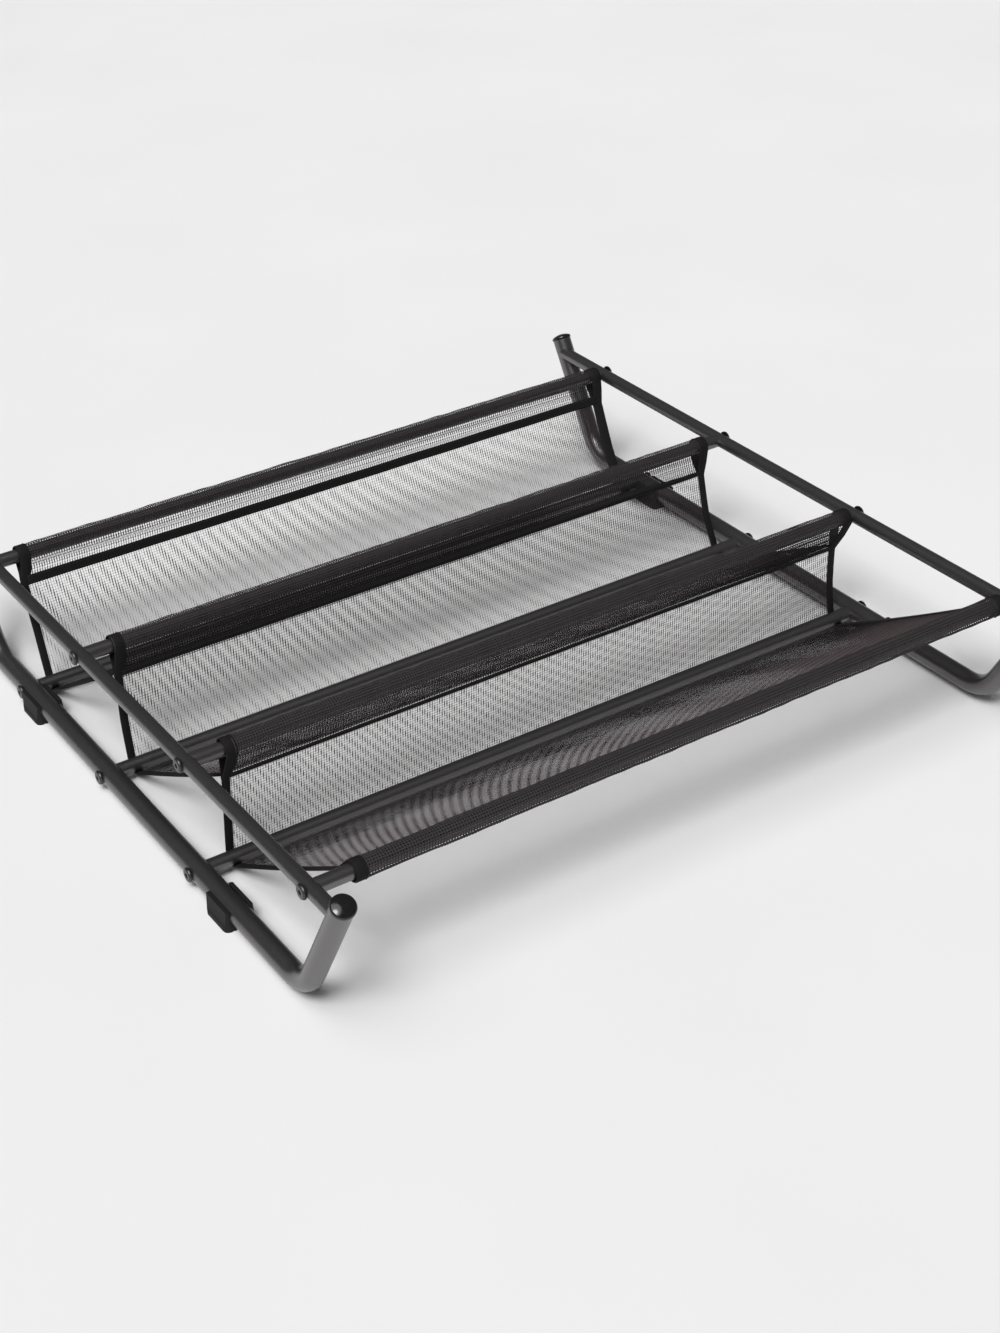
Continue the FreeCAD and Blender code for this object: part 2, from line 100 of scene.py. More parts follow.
# Slanting bands of wider and narrower yarn on each panel, and bands of painted sheen, lighter yarn over
# darker,
# on the last slope: waves per metre across and down at the middle, how both change per metre across, and
# strength at four places from left to right
BANDS = (
    (((60.5, -46.5), (-115, -42), (0.9, 0.9, 0.66, 0.4)),
     ((144, -91), (-168, 33), (0.2, 0.3, 0.4, 0.4))),
    (((68, -61), (-118, -40), (0.97, 0.97, 0.72, 0.42)),
     ((168, -129), (-203, 20), (0.2, 0.2, 0.3, 0.3))),
    (((77, -93), (-150, -65), (1.0, 0.95, 0.62, 0.22)),
     ((77, 118), (-160, -50), (0.45, 0.55, 0.68, 0.75))),
)
# Bands of painted sheen on the last slope
SLOPE_SHEEN_BANDS = ((70.5, 73), (-165, 110), (1.0, 1.05, 0.36, 0.03))
# Width of the yarn down each panel, at shares of the way from its seam to the turn
FALL_AT = (0, 0.3, 0.4, 0.55, 1)
FALL = ((1.25, 1.5, 1.25, 0.3, 0.3), (1.15, 1.45, 1.15, 0.5, 0.4), (1.05, 1.05, 1.0, 0.95, 0.9))
# Threads across a slope are taller at its right, from the first place to the second, and at its foot
TALLER_AT, TALLER = (110 * MM, 300 * MM), (1, 1.26)
FOOT_AT, FOOT_TALLER = (0.26, 0.38), (1.16, 1.0)
# Yarn's tint against that of a hem, painted light and shade on one yarn: lighter and warmer in the panels for
# light shining through them, darker in the last two slopes, and painted shade in the rest of the cloth
PANEL_PAINTED_LIGHT, SLOPE_LIGHT_AND_SHADE, INNER_PAINTED_SHADE = (1.0, 0.8, 0.85), (0.7, 0.61, 0.63), (0.39, 0.39, 0.39)
# A slope's yarn is painted dark at its foot for the shade under its lower tube, and lighter towards its top
SLOPE_SHADE_RISE_AT, SLOPE_SHADE_RISE = (0.22, 0.34, 0.42, 0.75), (0.25, 0.65, 1.05, 1.5)

# Bindings
BIND_W, BIND_LOOP_W, BIND_T = 7.5 * MM, 10.5 * MM, 1.3 * MM
BIND_LAP = 1.0 * MM          # beyond the cloth's edge
LOOP_FADE = 8 * MM           # above a seam, where the binding reaches its width round the tube
WIDER = {(0, 1): 4 * MM}     # binding of the rear trough at the right
# One face of a binding, as shares of its width from the inner edge and of half its thickness
BIND_FACE = ((0, -0.55), (0.04, -1), (0.5, -1), (0.93, -1), (1, -0.5))
BIND_OUTLINE = BIND_FACE + tuple((across, -out) for across, out in reversed(BIND_FACE))

# Seam tapes
TAPE_W, TAPE_T = (9.3 * MM, 5.5 * MM, 5.5 * MM, 5.5 * MM), 0.8 * MM
TAPE_POINTS = 160            # along a tape
TAPE_DRIFT, DRIFT_WAVES, DRIFT_SEED = 0.25 * MM, 5, 60   # of a tape up and down its seam
# Section of a tape, as shares of its width from the top and of its thickness
TAPE_OUTLINE = ((0, 0.3), (0, 0.75), (0.12, 1.0), (0.5, 1.08), (0.88, 1.0), (1, 0.75), (1, 0.3))
TAPE_ROWS = (0.2, 0.8)       # of stitches

# Stitches
STITCH, STITCH_GAP = 2.6 * MM, 1.1 * MM
STITCH_R = 0.28 * MM
STITCH_IN = 1.3 * MM         # from the inner edge of a binding
STITCH_SIDES = 5
STITCH_AHEAD = 0.1 * MM      # each way along a row, to find its direction
# Along a stitch: share of its length, its lift and its thickness, both against its radius
STITCH_PROFILE = ((0.0, -0.3, 0.5), (0.2, 0.6, 1.0), (0.5, 0.9, 1.0), (0.8, 0.6, 1.0), (1.0, -0.3, 0.5))

rng = np.random.default_rng(SEED)


# Geometry helpers

def new_piece(name, points, faces, material, sewn=(), thread=None):
    """Piece from points and faces; sewn adds (points, faces) of stitches in the thread's material."""
    points, faces, index = [np.asarray(points)], list(faces), [0] * len(faces)
    for more, quads in sewn:
        first = sum(len(p) for p in points)
        points.append(more)
        faces += [tuple(first + i for i in f) for f in quads]
        index += [1] * len(quads)
    mesh = bpy.data.meshes.new(name)
    mesh.from_pydata(np.vstack(points).tolist(), [], faces)
    mesh.polygons.foreach_set("use_smooth", [True] * len(faces))
    mesh.materials.append(material)
    if sewn:
        mesh.materials.append(thread)
        mesh.polygons.foreach_set("material_index", index)
    mesh.update()
    piece = bpy.data.objects.new(name, mesh)
    bpy.context.scene.collection.objects.link(piece)
    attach(piece, BODY)
    return piece


def sweep_faces(rings, around, offset):
    """Quads and end faces of a closed tube of rings with the given number of points each."""
    faces = []
    for i in range(rings - 1):
        for j in range(around):
            k = (j + 1) % around
            a = offset + i * around
            faces.append((a + j, a + k, a + around + k, a + around + j))
    faces.append(tuple(offset + j for j in reversed(range(around))))
    faces.append(tuple(offset + (rings - 1) * around + j for j in range(around)))
    return faces


def tube_of(node):
    """Centre (y, z) and radius of a cross tube, from its box."""
    low, high = (np.array(c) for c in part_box(node))
    middle = (low + high) / 2
    return middle[1:], (high[2] - low[2]) / 2


def unit(v):
    """Vector of length one."""
    return v / np.linalg.norm(v)


def tangent(point, centre, radius, side):
    """Direction from centre to where a line from point touches the circle."""
    out = point - centre
    angle = math.atan2(out[1], out[0]) + side * math.acos(radius / np.linalg.norm(out))
    return np.array([math.cos(angle), math.sin(angle)])


def arc(centre, radius, start, end, through, steps):
    """Points on an arc between two directions, passing the direction through."""
    a0 = math.atan2(start[1], start[0])
    turn = [(math.atan2(v[1], v[0]) - a0) % (2 * math.pi) for v in (through, end)]
    sweep = turn[1] if turn[0] < turn[1] else turn[1] - 2 * math.pi
    angles = a0 + sweep * np.linspace(0, 1, steps)
    return centre + radius * np.column_stack([np.cos(angles), np.sin(angles)])


def line(a, b, steps, sag=None):
    """Points from a to b, hanging by sag at the middle."""
    t = np.linspace(0, 1, steps)[:, None]
    points = a + (b - a) * t
    if sag is not None:
        points = points + sag * 4 * t * (1 - t)
    return points


def running_length(points):
    """Length along a line of points, at each of them."""
    step = np.linalg.norm(np.diff(points, axis=0), axis=1)
    return np.concatenate([[0], np.cumsum(step)])


def read_at(along, length, values):
    """Rows of values at places along a running length."""
    return np.column_stack([np.interp(along, length, column) for column in values.T])


def smooth_noise(shape, waves, seed, across=ACROSS_WAVES):
    """Sum of a few slow waves over a grid, within about -1 to 1."""
    draw = np.random.default_rng(seed)
    u = np.linspace(0, 1, shape[0])[:, None]
    v = np.linspace(0, 1, shape[1])[None, :]
    total = np.zeros(shape)
    for _ in range(waves):
        fu, fv = draw.uniform(*across), draw.uniform(*ALONG_WAVES)
        pu, pv = draw.uniform(0, 2 * math.pi, 2)
        total += np.sin(2 * math.pi * fu * u + pu) * np.sin(2 * math.pi * fv * v + pv)
    return total / math.sqrt(waves)


# Profile of the sling, in the plane of y and z

class Sleeve:
    """Loop of cloth round an upper tube, its layers meeting at a seam; side is 1 in front and -1 behind."""

    def __init__(self, centre, radius, down, front):
        self.centre, self.radius = centre, radius + SLEEVE_GAP
        self.down, self.front = down, front
        self.slant = math.asin(self.radius / math.hypot(SEAM_END, LAYER)) - math.atan2(LAYER, SEAM_END)

    def flat(self, side):
        """Direction from the tube's centre to where a face leaves the tube."""
        return self.down * math.sin(self.slant) + self.front * (side * math.cos(self.slant))

    def end(self, side):
        """Foot of a face."""
        return self.centre + self.down * SEAM_END + self.front * (side * LAYER)

    def on_face(self, side, along):
        """Point of a face, at a distance below the tube's axis."""
        half = LAYER + (SEAM_END - along) * math.tan(self.slant)
        return self.centre + self.down * along + self.front * (side * half)

    def loop(self, first):
        """Points from the seam on one side, round the tube, to the seam on the other."""
        leave = [self.flat(side) for side in (first, -first)]
        touch = [self.centre + direction * self.radius for direction in leave]
        return np.vstack([line(self.end(first), touch[0], FACE_STEPS)[:-1],
                          arc(self.centre, self.radius, *leave, -self.down, LOOP_STEPS),
                          line(touch[1], self.end(-first), FACE_STEPS)[1:]])


uppers = [tube_of("upper_cross_tube_%d" % (i + 1)) for i in range(ROWS + 1)]
lowers = [tube_of("lower_cross_tube_%d" % (i + 1)) for i in range(ROWS)]


def steep_sleeve(row):
    """Sleeve above a trough's panel, and the direction from the lower tube's centre to the panel's foot."""
    centre, radius = uppers[row]
    turn, turn_r = lowers[row]
    turn_r += CLOTH_GAP
    behind = tangent(centre, turn, turn_r, -1)
    return Sleeve(centre, radius, unit(turn + behind * turn_r - centre), -behind), behind


def last_sleeve():
    """Sleeve above the last slope, and the direction from the lower tube's centre to the slope's foot."""
    centre, radius = uppers[ROWS]
    turn, turn_r = lowers[ROWS - 1]
    turn_r += CLOTH_GAP
    below = tangent(centre, turn, turn_r, 1)
    return Sleeve(centre, radius, unit(turn + below * turn_r - centre), -below), below


def trough_path(row):
    """Side profile of a trough's cloth: points, slack (0 where held), part, share of the part, and drop.

    Drop is below the axis of the first sleeve's tube, and on the last sleeve below that of its own.
    """
    sleeve, behind = steep_sleeve(row)
    turn, turn_r = lowers[row]
    turn_r += CLOTH_GAP
    last = None
    if row + 1 < ROWS:
        following = steep_sleeve(row + 1)[0]
        end = following.on_face(-1, SEAM_DROP) - following.front * SLOPE_BEHIND
        below = tangent(end, turn, turn_r, 1)
    else:
        last, below = last_sleeve()
        end = last.end(1)
    pieces = [
        (sleeve.loop(-1), False),
        (line(sleeve.end(1), turn + behind * turn_r, PANEL_STEPS[row], behind * PANEL_SAG)[1:-1], True),
        (arc(turn, turn_r, behind, below, behind + below, TURN_STEPS), False),
        (line(turn + below * turn_r, end, SLOPE_STEPS, below * SLOPE_SAG)[1:], True),
    ]
    if last is not None:
        pieces.append((last.loop(1)[1:], False))
    points = np.vstack([p for p, _ in pieces])
    slack = np.concatenate([loose * np.sin(np.pi * (np.arange(len(p)) + 1) / (len(p) + 1))
                            for p, loose in pieces])
    part = np.concatenate([np.full(len(p), i) for i, (p, _) in enumerate(pieces)])
    share = np.concatenate([(np.arange(len(p)) + 0.5) / len(p) for p, _ in pieces])
    drop = (points - sleeve.centre) @ sleeve.down
    if last is not None:
        drop = np.where(part == ON_LAST, (points - last.centre) @ last.down, drop)
    return points, slack, part, share, drop


class Cloth:
    """Where the cloth of one trough is, at any place across it and along its profile."""

    def __init__(self, row):
        self.row = row
        self.points, self.slack, self.part, self.share, self.drop = trough_path(row)
        self.length = running_length(self.points)
        tangents = np.gradient(self.points, self.length, axis=0)
        self.tangents = tangents / np.linalg.norm(tangents, axis=1)[:, None]
        self.normals = np.column_stack([-self.tangents[:, 1], self.tangents[:, 0]])
        shape = (WAVE_COLUMNS + 1, len(self.points))
        ripple = np.isin(self.part, LOOPS) * (self.drop < SEAM_DROP / 2) * RIPPLE
        self.wave = smooth_noise(shape, PUCKER_WAVES, PUCKER_SEED + row) * self.slack * PUCKER
        self.wave += smooth_noise(shape, RIPPLE_WAVES, RIPPLE_SEED + row, RIPPLE_ACROSS) * ripple

    def on_tube(self):
        """1 where the cloth lies on an upper tube, falling to 0 below it."""
        front = (self.part == ON_SLEEVE) & (self.share > 0.5)
        fade = np.where(front, np.interp(self.drop, FRONT_FADE, [1, 0]),
                        np.interp(self.drop, BACK_FADE, [1, 0]))
        return np.isin(self.part, LOOPS) * fade

    def dense(self, x, along):
        """1 where threads are wide and close, at places across and running lengths."""
        share = np.interp(along, self.length, self.on_tube()) * np.ones_like(x)
        if self.row in DENSE_HEMS:
            sleeve = np.interp(along, self.length, self.part == ON_SLEEVE)
            share = np.maximum(share, sleeve * np.interp(x, *DENSE_HEMS[self.row]))
        return share

    def fall(self):
        """Width of the yarn against RIB_W or CROSS_W, for each point of the profile."""
        return np.where(self.part == ON_PANEL, np.interp(self.share, FALL_AT, FALL[self.row]), 1)

    def at(self, along):
        """Profile point, tangent and normal at running lengths."""
        return [read_at(along, self.length, values) for values in (self.points, self.tangents, self.normals)]

    def edge(self, along, side):
        """Distance of the cloth's edge from the middle of the rack."""
        table = RIGHT_EDGE if side > 0 else LEFT_EDGE
        tube, seam, middle, turn = table[self.row]
        after = table[self.row + 1]
        fall = [SEAM_DROP - EDGE_FALL, SEAM_DROP]
        by_part = [np.interp(self.drop, fall, [tube, seam]),
                   np.interp(self.share, [0, 0.5, 1], [seam, middle, turn]),
                   np.full(len(self.part), turn),
                   np.interp(self.share, [0, 1], [turn, after[1]]),
                   np.interp(self.drop, fall, [after[0], after[1]])]
        return np.interp(along, self.length, np.choose(self.part, by_part)) * MM - BIND_LAP

    def place(self, share, along):
        """Points at shares -1 to 1 of the width, for each running length: (n, m, 3), and normals."""
        flat, _, normals = self.at(along)
        left, right = -self.edge(along, -1)[None], self.edge(along, 1)[None]
        x = left + (right - left) * (share[:, None] + 1) / 2
        column = (share + 1) / 2 * WAVE_COLUMNS
        low = np.clip(np.floor(column).astype(int), 0, WAVE_COLUMNS - 1)
        mix = (column - low)[:, None]
        wave = self.wave[low] * (1 - mix) + self.wave[low + 1] * mix
        lift = np.stack([np.interp(along, self.length, w) for w in wave])
        yz = flat[None] + normals[None] * lift[:, :, None]
        return np.dstack([x, yz]), normals


# Net

def band(family, x, along):
    """Phase in turns, and strength, of one family of bands at places across and along."""
    (over, down), (over_change, down_change), strengths = family
    phase = over * x + over_change * x * x / 2 + down * along + down_change * x * along
    return phase, np.interp(x, HALF_SPAN * np.linspace(-1, 1, len(strengths)), strengths)


def rib_width(cloth, x):
    """Width of the ribs at places across, for each point of the profile."""
    along = cloth.length[None] - SEAM_END
    fall = cloth.fall()
    swing = (cloth.part == ON_PANEL) * np.maximum(1, (1 + fall) / 2)
    width = np.ones_like(x) * fall
    for family in BANDS[cloth.row]:
        phase, strength = band(family, x, along)
        width += np.sin(2 * math.pi * phase) * strength * swing
    width = np.maximum(np.where(cloth.part == ON_SLOPE, SLOPE_RIB_W, RIB_W) * width, LEAST_W)
    return np.maximum(width, SLEEVE_W * cloth.dense(x, cloth.length[None]))


def in_space(directions):
    """Directions in the profile's plane as vectors of x, y and z."""
    return np.column_stack([np.zeros(len(directions)), directions])


def flat_threads(middle, first, second, width, thick):
    """Corners of threads with their width along first and their thickness along second.

    They come as (thread, place along it, corner, xyz).
    """
    a, b = first * width[:, :, None] / 2, second * thick[:, :, None] / 2
    return np.stack([middle - a - b, middle + a - b, middle + a + b, middle - a + b], axis=2)


def rib_threads(cloth):
    """Threads that follow the profile: corners, running lengths, and half their surface."""
    count = int(round(2 * HALF_SPAN / THREAD_PITCH))
    shares = np.linspace(-1, 1, count + 1)
    shares[1:-1] += rng.normal(0, THREAD_JITTER, count - 1) * (2 / count)
    middle, normals = cloth.place(shares, cloth.length)
    width = rib_width(cloth, middle[:, :, 0])
    thick = np.full(width.shape, THREAD_T)
    corners = flat_threads(middle, np.array([1.0, 0, 0]), in_space(normals), width, thick)
    area = np.sum(((width[:, 1:] + width[:, :-1]) / 2 + THREAD_T) * np.diff(cloth.length))
    return corners, np.broadcast_to(cloth.length, width.shape), float(area)


def cross_threads(cloth):
    """Threads from edge to edge: corners, running lengths, and half their surface."""
    rows = int(cloth.length[-1] / THREAD_PITCH)
    along = (np.arange(rows) + 0.5) / rows * cloth.length[-1]
    along = along + rng.normal(0, THREAD_JITTER * THREAD_PITCH, rows)
    middle, normals = cloth.place(np.linspace(-1, 1, THREAD_STEPS + 1), along)
    middle = middle.transpose(1, 0, 2)
    x = middle[:, :, 0]
    tangents = cloth.at(along)[1]
    slope = np.interp(along, cloth.length, cloth.part) == ON_SLOPE
    foot = np.interp(np.interp(along, cloth.length, cloth.share), FOOT_AT, FOOT_TALLER)
    taller = np.maximum(np.interp(x, TALLER_AT, TALLER), foot[:, None])
    thick = np.where(slope[:, None], SLOPE_T[cloth.row] * taller, THREAD_T)
    fall = np.interp(along, cloth.length, cloth.fall())
    width = np.where(slope, SLOPE_CROSS_W, CROSS_W * fall)[:, None]
    width = np.maximum(width, SLEEVE_W * cloth.dense(x, along[:, None]))
    corners = flat_threads(middle, in_space(tangents)[:, None], in_space(normals)[:, None], width, thick)
    area = np.sum((width + thick).mean(axis=1))
    return corners, np.broadcast_to(along[:, None], width.shape), float(area) * 2 * HALF_SPAN


def mesh_cloth(cloth, material):
    """Open net of ribs and cross threads, and its own area, which is half the surface of its threads."""
    points, places, faces, area = [], [], [], 0
    for threads in (rib_threads, cross_threads):
        corners, along, part_area = threads(cloth)
        first = sum(len(p) for p in points)
        count, steps = along.shape
        for i in range(count):
            faces += sweep_faces(steps, THREAD_CORNERS, first + i * steps * THREAD_CORNERS)
        points.append(corners.reshape(-1, 3))
        places.append(np.repeat(along, THREAD_CORNERS))
        area += part_area
    points = np.vstack(points)
    piece = new_piece("mesh_cloth_%d" % (cloth.row + 1), points, faces, material)
    mark_painted_light(piece, cloth, points[:, 0], np.concatenate(places))
    return piece, area


def mark_painted_light(piece, cloth, x, along):
    """Painted light and shade on the yarn, and phase and strength of the last slope's painted sheen bands, at
    each point of a cloth.
    """
    index = np.interp(along, cloth.length, np.arange(len(cloth.length))).round().astype(int)
    part = cloth.part[index]
    slope = (part == ON_SLOPE) & (cloth.row > 0)
    # Painted shade on the yarn away from the panels and hems, painted light in the panels, painted shade at a
    # slope's foot
    painted_tint = np.ones((len(x), 3)) * INNER_PAINTED_SHADE
    painted_tint[part == ON_PANEL] = PANEL_PAINTED_LIGHT
    shade_rise = np.interp(cloth.share[index], SLOPE_SHADE_RISE_AT, SLOPE_SHADE_RISE)
    painted_tint[slope] = shade_rise[slope, None] * SLOPE_LIGHT_AND_SHADE
    on_tube = cloth.on_tube()[index][:, None]
    painted_tint = painted_tint * (1 - on_tube) + on_tube
    # Bands of painted sheen on the last slope, faded with the painted shade at its foot
    phase, strength = band(SLOPE_SHEEN_BANDS, x, along - cloth.length[cloth.part == ON_TURN][-1])
    strength = strength * shade_rise * slope * (cloth.row == ROWS - 1)
    attributes = piece.data.attributes
    painted_tints = attributes.new("yarn_light_and_shade", "FLOAT_VECTOR", "POINT")
    painted_tints.data.foreach_set("vector", painted_tint.astype(np.float32).ravel())
    for name, values in (("sheen_phase", phase), ("sheen_strength", strength)):
        attributes.new(name, "FLOAT", "POINT").data.foreach_set("value", values.astype(np.float32))


# Tapes

def stitches(path, outs):
    """Row of sewn stitches along a path: short threads that dip into the cloth at both ends."""
    length = running_length(path)
    count = int(length[-1] / (STITCH + STITCH_GAP))
    start = (np.arange(count) + 0.5) * length[-1] / count - STITCH / 2
    rings = []
    for at, lift, thick in STITCH_PROFILE:
        where = start + at * STITCH
        out = read_at(where, length, outs)
        ahead = read_at(where + STITCH_AHEAD, length, path) - read_at(where - STITCH_AHEAD, length, path)
        ahead /= np.linalg.norm(ahead, axis=1)[:, None]
        aside = np.cross(ahead, out)
        middle = read_at(where, length, path) + out * (lift * STITCH_R)
        ring = [middle + (out * math.sin(a) + aside * math.cos(a)) * STITCH_R * thick
                for a in np.arange(STITCH_SIDES) * 2 * math.pi / STITCH_SIDES]
        rings.append(np.stack(ring, axis=1))
    faces = []
    for i in range(count):
        faces += sweep_faces(len(STITCH_PROFILE), STITCH_SIDES, i * len(STITCH_PROFILE) * STITCH_SIDES)
    return np.stack(rings, axis=1).reshape(-1, 3), faces


def binding(cloth, side, material, thread):
    """Tape folded over the cloth's edge, along the whole profile, with a row of stitches on each face."""
    along = cloth.length
    flat, _, normals = cloth.at(along)
    outer = cloth.edge(along, side) + BIND_LAP
    wide = np.isin(cloth.part, LOOPS) * np.clip((SEAM_DROP - cloth.drop) / LOOP_FADE, 0, 1)
    inner = outer - BIND_W - (BIND_LOOP_W - BIND_W) * wide - WIDER.get((cloth.row, side), 0) * (1 - wide)
    half = BIND_T / 2
    rings = []
    for across, out in BIND_OUTLINE:
        x = side * (inner + (outer - inner) * across)
        rings.append(np.column_stack([x, flat + normals * (out * half)]))
    points = np.stack(rings, axis=1).reshape(-1, 3)
    faces = sweep_faces(len(along), len(BIND_OUTLINE), 0)
    if side < 0:
        faces = [tuple(reversed(f)) for f in faces]
    sewn = []
    for face in (-1, 1):
        outs = in_space(normals * face)
        path = np.column_stack([side * (inner + STITCH_IN), flat]) + outs * half
        sewn.append(stitches(path, outs))
    name = "%s_edge_tape_%d" % ("right" if side > 0 else "left", cloth.row + 1)
    return new_piece(name, points, faces, material, sewn, thread)


def seam_tape(row, material, thread):
    """Flat tape along a seam, slightly domed and uneven, with two rows of stitches."""
    sleeve = steep_sleeve(row)[0] if row < ROWS else last_sleeve()[0]
    width = TAPE_W[row]
    top, low = sleeve.on_face(1, SEAM_END - width), sleeve.on_face(1, SEAM_END)
    face = unit(low - top)
    out = np.array([face[1], -face[0]])
    if out @ sleeve.front < 0:
        out = -out
    xs = np.linspace(BIND_W - LEFT_EDGE[row][1] * MM, RIGHT_EDGE[row][1] * MM - BIND_W, TAPE_POINTS)
    drift = smooth_noise((TAPE_POINTS, 2), DRIFT_WAVES, DRIFT_SEED + row)[:, 0] * TAPE_DRIFT

    def lay(along, thick):
        yz = top + face * (along * width) + out * (THREAD_T / 2 + thick * TAPE_T)
        return np.column_stack([xs, yz[0] + drift * face[0], yz[1] + drift * face[1]])

    points = np.stack([lay(along, thick) for along, thick in TAPE_OUTLINE], axis=1).reshape(-1, 3)
    outs = np.tile([0, *out], (len(xs), 1))
    sewn = [stitches(lay(along, 1.0), outs) for along in TAPE_ROWS]
    faces = sweep_faces(len(xs), len(TAPE_OUTLINE), 0)
    return new_piece("sleeve_tape_%d" % (row + 1), points, faces, material, sewn, thread)


# Materials

NOISE_RANGE = (0.3, 0.7)     # of the noise, over which colour and roughness change
NOISE_DETAIL = 4.0
# Sockets of a mix node that mixes colours
MIX_FACTOR, MIX_FIRST, MIX_SECOND, MIX_RESULT = 0, 6, 7, 2


def colour_ramp(tree, positions, colours):
    """Ramp between two colours at two positions."""
    ramp = tree.nodes.new("ShaderNodeValToRGB")
    for element, position, colour in zip(ramp.color_ramp.elements, positions, colours):
        element.position, element.color = position, (*colour, 1)
    return ramp


def make_material(name, colours, scale, roughness, bump=None, **sockets):
    """Principled finish whose colour, roughness and bump follow a fine noise over the piece.

    Colours and roughness each go from the first value to the second; bump is its strength and distance.
    """
    material = bpy.data.materials.new(name)
    material.use_nodes = True
    tree = material.node_tree
    shader = tree.nodes["Principled BSDF"]
    place = tree.nodes.new("ShaderNodeTexCoord")
    noise = tree.nodes.new("ShaderNodeTexNoise")
    noise.inputs["Scale"].default_value = scale
    noise.inputs["Detail"].default_value = NOISE_DETAIL
    tree.links.new(place.outputs["Object"], noise.inputs["Vector"])
    ramp = colour_ramp(tree, NOISE_RANGE, colours)
    tree.links.new(noise.outputs["Fac"], ramp.inputs["Fac"])
    tree.links.new(ramp.outputs["Color"], shader.inputs["Base Color"])
    spread = tree.nodes.new("ShaderNodeMapRange")
    spread.inputs["From Min"].default_value, spread.inputs["From Max"].default_value = NOISE_RANGE
    spread.inputs["To Min"].default_value, spread.inputs["To Max"].default_value = roughness
    tree.links.new(noise.outputs["Fac"], spread.inputs["Value"])
    tree.links.new(spread.outputs["Result"], shader.inputs["Roughness"])
    if bump:
        height = tree.nodes.new("ShaderNodeBump")
        height.inputs["Strength"].default_value, height.inputs["Distance"].default_value = bump
        tree.links.new(noise.outputs["Fac"], height.inputs["Height"])
        tree.links.new(height.outputs["Normal"], shader.inputs["Normal"])
    for socket, value in sockets.items():
        shader.inputs[socket.replace("_", " ")].default_value = value
    return material


def paint_cloth_light_and_sheen(material, sheen_colour):
    """Painted light and shade, and bands of painted sheen, over a material's colour, from what its pieces
    carry.
    """
    tree = material.node_tree
    colour = tree.nodes["Principled BSDF"].inputs["Base Color"]

    def carried(name, output):
        node = tree.nodes.new("ShaderNodeAttribute")
        node.attribute_name = name
        return node.outputs[output]

    def fill(socket, value):
        if isinstance(value, bpy.types.NodeSocket):
            tree.links.new(value, socket)
        else:
            socket.default_value = value

    def maths(operation, *values):
        node = tree.nodes.new("ShaderNodeMath")
        node.operation = operation
        for socket, value in zip(node.inputs, values):
            fill(socket, value)
        return node.outputs[0]

    def mix(blend, factor, first, second):
        node = tree.nodes.new("ShaderNodeMix")
        node.data_type, node.blend_type = "RGBA", blend
        for socket, value in ((MIX_FACTOR, factor), (MIX_FIRST, first), (MIX_SECOND, second)):
            fill(node.inputs[socket], value)
        return node.outputs[MIX_RESULT]

    # Bands of painted sheen: the yarn's colour mixed towards a lighter one
    wave = maths("SINE", maths("MULTIPLY", carried("sheen_phase", "Fac"), 2 * math.pi))
    share = maths("MULTIPLY", maths("MULTIPLY_ADD", wave, 0.5, 0.5), carried("sheen_strength", "Fac"))
    # Yarn's colour times its painted light and shade
    lit_and_shaded = mix("MULTIPLY", 1.0, colour.links[0].from_socket, carried("yarn_light_and_shade", "Vector"))
    tree.links.new(mix("MIX", share, lit_and_shaded, (*sheen_colour, 1)), colour)


paint = make_material("satin_paint", colours=((0.148, 0.142, 0.144), (0.176, 0.169, 0.171)), scale=900,
                      roughness=(0.28, 0.36), bump=(0.15, 0.1 * MM), Metallic=0.9)
screw_steel = make_material("dark_screw", colours=((0.065, 0.063, 0.064), (0.09, 0.087, 0.088)), scale=700,
                            roughness=(0.32, 0.42), bump=(0.2, 0.05 * MM), Metallic=0.9)
insert_plastic = make_material("insert_plastic", colours=((0.02, 0.02, 0.02), (0.03, 0.03, 0.03)), scale=500,
                               roughness=(0.5, 0.6), bump=(0.2, 0.05 * MM))
cap_plastic = make_material("gloss_cap", colours=((0.008, 0.008, 0.008), (0.012, 0.012, 0.012)), scale=300,
                            roughness=(0.12, 0.2), bump=(0.05, 0.05 * MM))
foot_rubber = make_material("foot_rubber", colours=((0.007, 0.007, 0.007), (0.013, 0.013, 0.013)), scale=1400,
                            roughness=(0.6, 0.75), bump=(0.4, 0.1 * MM), Specular_IOR_Level=0.25)
yarn = make_material("mesh_yarn", colours=((0.035, 0.0305, 0.0315), (0.056, 0.0505, 0.0515)), scale=2600,
                     roughness=(0.6, 0.8), bump=(0.4, 0.1 * MM), Specular_IOR_Level=0.12)
# Lighter colour of the painted sheen bands
paint_cloth_light_and_sheen(yarn, sheen_colour=(0.175, 0.157, 0.162))
tape_fabric = make_material("black_tape", colours=((0.006, 0.005, 0.005), (0.012, 0.011, 0.011)), scale=2200,
                            roughness=(0.7, 0.9), bump=(0.5, 0.1 * MM), Specular_IOR_Level=0.2)
thread = make_material("sewing_thread", colours=((0.010, 0.009, 0.009), (0.020, 0.018, 0.018)), scale=4000,
                       roughness=(0.6, 0.8), bump=(0.3, 0.05 * MM), Specular_IOR_Level=0.3)

FINISH = {"frame_paint": paint, "screw_steel": screw_steel, "insert_plastic": insert_plastic,
          "cap_plastic": cap_plastic, "foot_rubber": foot_rubber}
slots = {part["node"]: part["material_slot"] for part in frame["record"]["subparts"]}
for node, slot in slots.items():
    if slot in FINISH:
        data = bpy.data.objects[node].data
        data.materials.clear()
        data.materials.append(FINISH[slot])


# Sling pieces

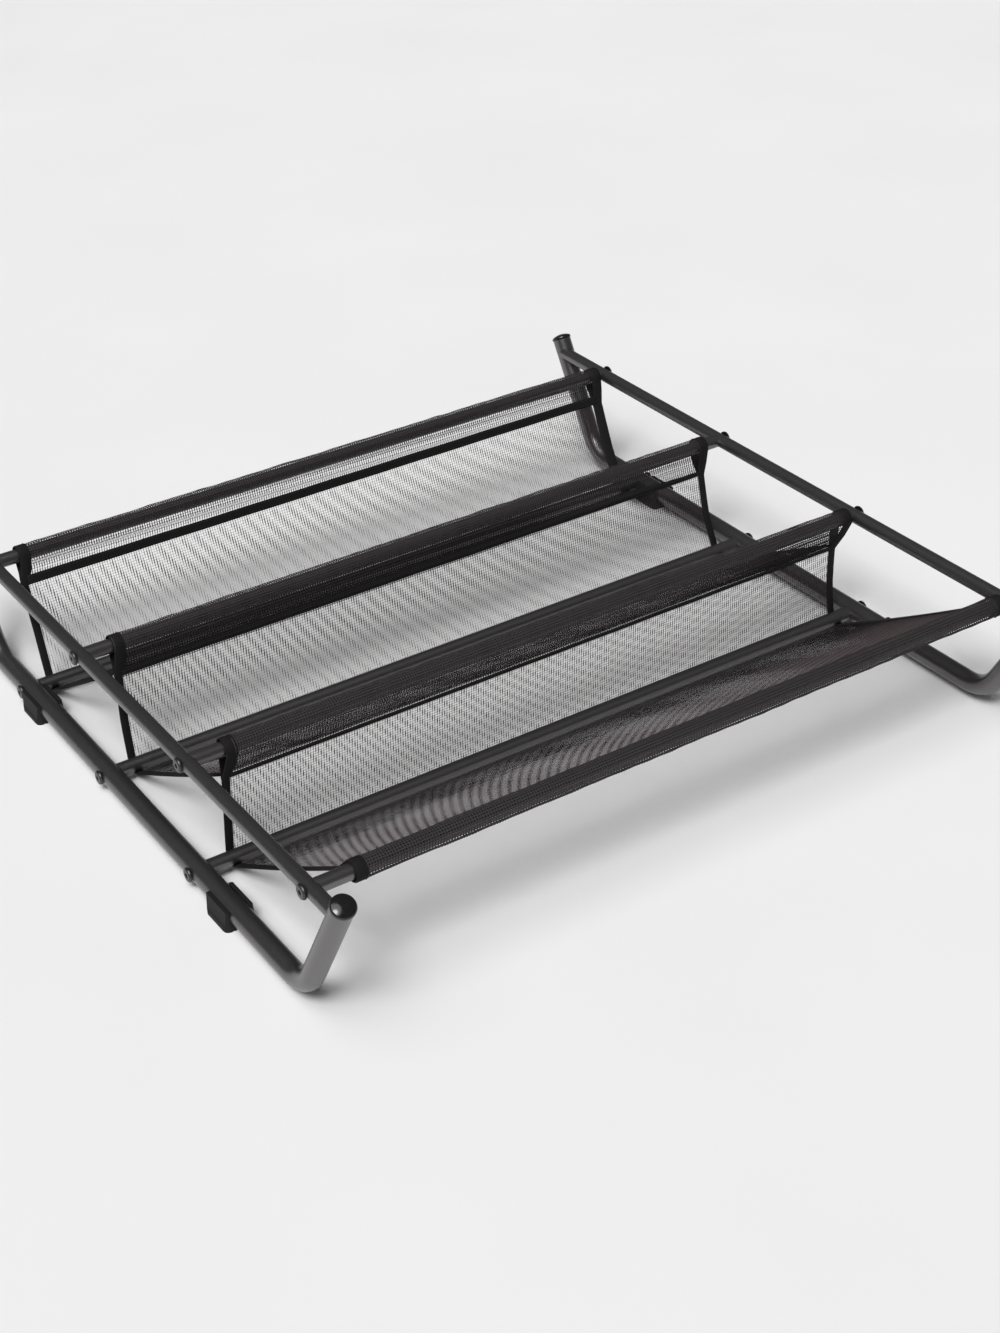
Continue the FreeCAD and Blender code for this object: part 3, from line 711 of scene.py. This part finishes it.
cloths = [Cloth(row) for row in range(ROWS)]
for row in range(ROWS + 1):
    tape = seam_tape(row, tape_fabric, thread)
    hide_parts("seam_tape_%d" % (row + 1))
for cloth in cloths:
    number = cloth.row + 1
    sheet, thread_area = mesh_cloth(cloth, yarn)
    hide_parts("mesh_trough_%d" % number)
    for name, side in (("left", -1), ("right", 1)):
        tape = binding(cloth, side, tape_fabric, thread)
        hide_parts("%s_binding_%d" % (name, number))


# Studio

FLOOR_REACH = 40.0
# Direction towards each sun, its width in degrees and its strength
SUNS = {"key": ((-0.44, -0.375, 0.82), 21, 1.58), "overhead": ((-0.42, -0.22, 0.88), 55, 1.88)}
# Upward share of a direction, from the horizon to 30 degrees above it, and the sky's colour there
SKY_AT, SKY = (0.0, 0.5), ((0.108, 0.108, 0.109), (0.09, 0.09, 0.09))


def sun(name, towards, angle, strength):
    """Sun lamp that shines from a direction."""
    data = bpy.data.lights.new(name, "SUN")
    data.energy, data.angle = strength, math.radians(angle)
    lamp = bpy.data.objects.new(name, data)
    bpy.context.scene.collection.objects.link(lamp)
    lamp.rotation_euler = Vector(towards).to_track_quat("Z", "Y").to_euler()


floor_material = make_material("studio_floor", colours=((0.845, 0.845, 0.845), (0.86, 0.86, 0.86)), scale=3,
                               roughness=(0.7, 0.8))
floor_corners = [(x * FLOOR_REACH, y * FLOOR_REACH, 0) for x, y in ((-1, -1), (1, -1), (1, 1), (-1, 1))]
floor_mesh = bpy.data.meshes.new("studio_floor")
floor_mesh.from_pydata(floor_corners, [], [(0, 1, 2, 3)])
floor_mesh.materials.append(floor_material)
floor = bpy.data.objects.new("studio_floor", floor_mesh)
bpy.context.scene.collection.objects.link(floor)

for name, (towards, angle, strength) in SUNS.items():
    sun(name, towards, angle, strength)

world = bpy.data.worlds.new("studio")
world.use_nodes = True
sky = world.node_tree
place = sky.nodes.new("ShaderNodeTexCoord")
split = sky.nodes.new("ShaderNodeSeparateXYZ")
shade = colour_ramp(sky, SKY_AT, SKY)
sky.links.new(place.outputs["Generated"], split.inputs["Vector"])
sky.links.new(split.outputs["Z"], shade.inputs["Fac"])
sky.links.new(shade.outputs["Color"], sky.nodes["Background"].inputs["Color"])
bpy.context.scene.world = world

# Camera at the photograph's place, from a fit of the frame's straight lines
FOCAL_PX, LONG_SIDE_PX, SENSOR_MM = 2188.0, 1333.0, 36.0
CAMERA_AT = Vector((-0.9059, -1.4563, 1.0851))
CAMERA_LOOKS = Vector((0.45623, 0.71647, -0.52776))
CAMERA_UP = Vector((0.31363, 0.42556, 0.84884))
camera_data = bpy.data.cameras.new("photo_camera")
camera_data.sensor_width = SENSOR_MM
camera_data.lens = FOCAL_PX / LONG_SIDE_PX * SENSOR_MM
camera = bpy.data.objects.new("photo_camera", camera_data)
bpy.context.scene.collection.objects.link(camera)
right = CAMERA_LOOKS.cross(CAMERA_UP).normalized()
up = right.cross(CAMERA_LOOKS).normalized()
axes = Matrix((right, up, -CAMERA_LOOKS)).transposed().to_4x4()
camera.matrix_world = Matrix.Translation(CAMERA_AT) @ axes
bpy.context.scene.camera = camera

bpy.context.scene.view_settings.view_transform = "Standard"
